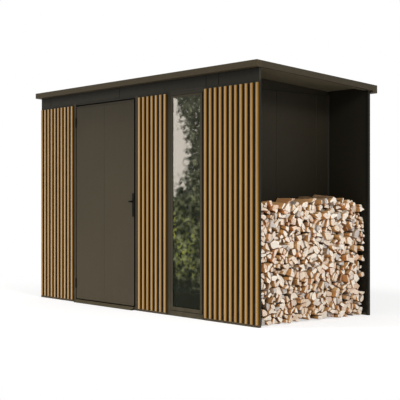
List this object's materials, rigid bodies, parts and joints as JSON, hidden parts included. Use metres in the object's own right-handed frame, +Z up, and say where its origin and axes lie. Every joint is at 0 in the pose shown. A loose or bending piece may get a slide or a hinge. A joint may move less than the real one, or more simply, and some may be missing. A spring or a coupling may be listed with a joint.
{
  "type": "metal garden shed with an open-sided log store",
  "caption": "Low pent-roof metal shed with a hinged door, a tall fixed window and vertical slats, and a roofed, open-sided bay at one end stacked with split firewood.",
  "frame": {"origin": "on the ground, midway along the length and the depth of the roof", "axes": "+Z up; the front with the door faces -Y; the log store is at the +X end"},
  "size_m": [3.463, 1.52, 2.1996],
  "materials": {
    "base_steel": "matt olive brown powder coat",
    "floor_board": "plain board, dull",
    "panel_dark": "matt dark brown powder coat",
    "header_steel": "matt dark brown powder coat",
    "slat_wood": "honey-coloured wood grain, satin",
    "frame_steel": "satin olive brown powder coat",
    "door_steel": "satin olive brown powder coat",
    "ramp_steel": "satin olive brown powder coat, scuffed",
    "window_steel": "satin dark brown powder coat",
    "glass": "dark tinted reflective glass",
    "wall_steel": "satin dark olive brown powder coat",
    "roof_steel": "satin dark brown powder coat",
    "trim_steel": "satin olive brown powder coat",
    "firewood": "freshly split pale wood with patches of bark",
    "black_hardware": "satin black powder coat"
  },
  "bodies": {
    "shed": {"base_rail_front": "base_steel", "base_rail_rear": "base_steel", "base_rail_left": "base_steel", "base_rail_partition": "base_steel", "shed_floor": "floor_board", "front_panel_left": "panel_dark", "front_panel_middle": "panel_dark", "front_panel_right": "panel_dark", "front_header": "header_steel", "slats_left": "slat_wood", "slats_middle": "slat_wood", "slats_right": "slat_wood", "door_jamb_left": "frame_steel", "door_jamb_right": "frame_steel", "door_head": "frame_steel", "door_threshold": "base_steel", "door_ramp": "ramp_steel", "window_post": "panel_dark", "window_jamb": "frame_steel", "window_head": "frame_steel", "window_sill": "frame_steel", "window_frame": "window_steel", "window_glass": "glass", "left_wall": "wall_steel", "left_gable": "wall_steel", "rear_wall": "wall_steel", "rear_header": "wall_steel", "partition_wall": "wall_steel", "partition_gable": "wall_steel", "store_front_post": "frame_steel", "store_rear_post": "wall_steel", "store_edge_beam": "roof_steel", "store_corner_trim": "wall_steel", "roof_panel": "roof_steel", "roof_trim_front": "trim_steel", "roof_trim_left": "trim_steel", "roof_trim_right": "trim_steel", "roof_trim_rear": "trim_steel", "firewood_stack": "firewood", "hinge_frame_leaves": "black_hardware", "hinge_pins": "black_hardware"},
    "door": {"door_leaf": "door_steel", "hinge_door_leaves": "black_hardware", "handle_plate": "black_hardware"},
    "lever": {"lever_handle": "black_hardware"}
  },
  "joints": [
    {"name": "door_hinge", "type": "hinge", "parent": "shed", "child": "door", "pos_m": [-1.005, -0.716, 1], "axis": [0, 0, -1], "range_deg": [0, 110]},
    {"name": "lever_turn", "type": "hinge", "parent": "door", "child": "lever", "pos_m": [-0.0225, -0.714, 1.035], "axis": [0, -1, 0], "range_deg": [0, 45], "stiffness_Nm_per_rad": 1.2, "springref_deg": -28.65}
  ]
}
